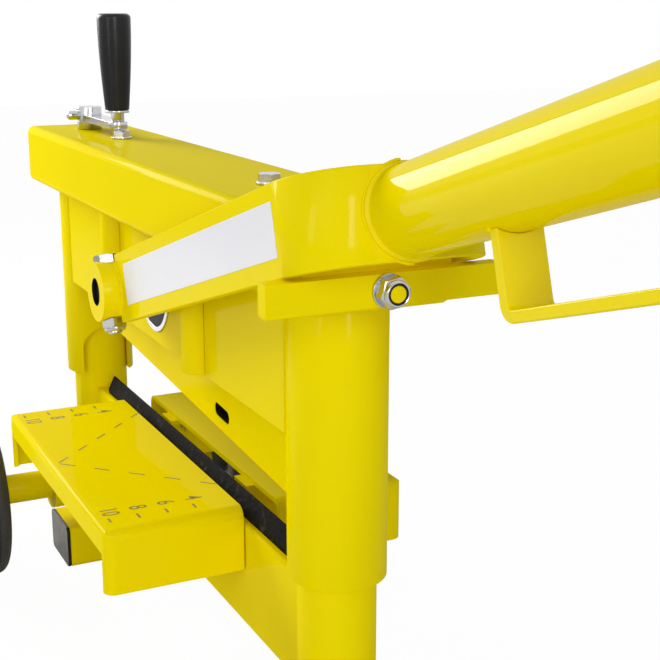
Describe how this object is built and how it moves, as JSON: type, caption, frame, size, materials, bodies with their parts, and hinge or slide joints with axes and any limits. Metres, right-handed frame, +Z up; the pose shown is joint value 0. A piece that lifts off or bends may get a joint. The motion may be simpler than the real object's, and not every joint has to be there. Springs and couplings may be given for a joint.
{
  "type": "masonry block splitter",
  "caption": "Hand-lever block splitter: a crank-raised head on columns, whose eccentric lever presses a tilting knife onto a fixed blade between folded tables; wheels at one end.",
  "frame": {"origin": "on the floor, midway between the two columns", "axes": "+X along the beam towards the lever's handle, +Y to the right table, +Z up"},
  "size_m": [1.1526, 0.326, 0.5874],
  "materials": {
    "yellow_paint": "glossy lemon-yellow powder coat",
    "zinc": "bright zinc plating",
    "steel": "machined steel",
    "blade_steel": "blackened steel",
    "bronze": "bearing bronze",
    "rim_plastic": "moulded black plastic",
    "black_plastic": "smooth satin black plastic",
    "tyre_rubber": "solid black rubber"
  },
  "bodies": {
    "frame": {"near_foot": "yellow_paint", "far_foot": "yellow_paint", "foot_caps": "black_plastic", "near_column": "yellow_paint", "far_column": "yellow_paint", "column_nuts": "bronze", "lower_beam": "yellow_paint", "lower_blade": "blade_steel", "table_arms": "yellow_paint", "left_table": "yellow_paint", "right_table": "yellow_paint", "table_nuts": "zinc", "axle_brackets": "yellow_paint", "axle_tube": "yellow_paint", "wheel_axle": "zinc", "axle_caps": "black_plastic"},
    "left_wheel": {"left_rim": "rim_plastic", "left_tyre": "tyre_rubber"},
    "right_wheel": {"right_rim": "rim_plastic", "right_tyre": "tyre_rubber"},
    "head": {"top_beam": "yellow_paint", "near_sleeve": "yellow_paint", "far_sleeve": "yellow_paint", "front_cheek": "yellow_paint", "rear_cheek": "yellow_paint", "cheek_ribs": "yellow_paint", "shaft_bushes": "zinc", "guide_strips": "steel", "tie_blocks": "steel", "beam_bolts": "zinc", "beam_washers": "zinc", "spindle_bushes": "bronze", "drive_chain": "steel", "stop_bar": "yellow_paint", "stop_stud": "yellow_paint", "stop_nut": "zinc"},
    "crank": {"far_spindle": "zinc", "far_sprocket": "steel", "crank_hub": "zinc", "crank_set_screw": "zinc", "crank_arm": "zinc", "grip_pin": "zinc"},
    "grip": {"crank_grip": "black_plastic"},
    "near_screw": {"near_spindle": "zinc", "near_sprocket": "steel"},
    "lever": {"lever_fork": "yellow_paint", "lever_hubs": "yellow_paint", "hub_bolts": "zinc", "hub_nuts": "zinc", "eccentric_shaft": "steel", "lever_tube": "yellow_paint", "lever_loop": "yellow_paint", "lever_end_cap": "black_plastic"},
    "knife_carrier": {"knife_holder": "steel", "knife_pivot_pin": "zinc"},
    "knife": {"upper_knife": "yellow_paint"}
  },
  "joints": [
    {"name": "head_slide", "type": "slide", "parent": "frame", "child": "head", "axis": [0, 0, 1], "range_m": [-0.026, 0.074]},
    {"name": "crank_turn", "type": "hinge", "parent": "head", "child": "crank", "pos_m": [-0.2535, 0, 0.41], "axis": [0, 0, 1], "range_deg": [-1872, 5328]},
    {"name": "near_screw_turn", "type": "hinge", "parent": "head", "child": "near_screw", "pos_m": [0.2535, 0, 0.36], "axis": [0, 0, 1], "range_deg": [-1872, 5328]},
    {"name": "grip_spin", "type": "hinge", "parent": "crank", "child": "grip", "pos_m": [-0.1655, 0, 0.45], "axis": [0, 0, 1], "continuous": true},
    {"name": "lever_press", "type": "hinge", "parent": "head", "child": "lever", "pos_m": [0, 0, 0.316], "axis": [0, -1, 0], "range_deg": [0, 60]},
    {"name": "knife_stroke", "type": "slide", "parent": "head", "child": "knife_carrier", "axis": [0, 0, 1], "range_m": [0, 0.012]},
    {"name": "knife_align", "type": "hinge", "parent": "knife_carrier", "child": "knife", "pos_m": [0, 0, 0.2835], "axis": [0, 1, 0], "range_deg": [-7.46, 0]},
    {"name": "left_wheel_spin", "type": "hinge", "parent": "frame", "child": "left_wheel", "pos_m": [-0.2535, -0.124, 0.077], "axis": [0, 1, 0], "continuous": true},
    {"name": "right_wheel_spin", "type": "hinge", "parent": "frame", "child": "right_wheel", "pos_m": [-0.2535, 0.124, 0.077], "axis": [0, 1, 0], "continuous": true}
  ],
  "couplings": [
    {"joint": "crank_turn", "follows": "head_slide", "rad_per_m": 1256.6},
    {"joint": "near_screw_turn", "follows": "head_slide", "rad_per_m": 1256.6},
    {"joint": "knife_stroke", "follows": "lever_press", "m_per_rad": 0.011459}
  ]
}
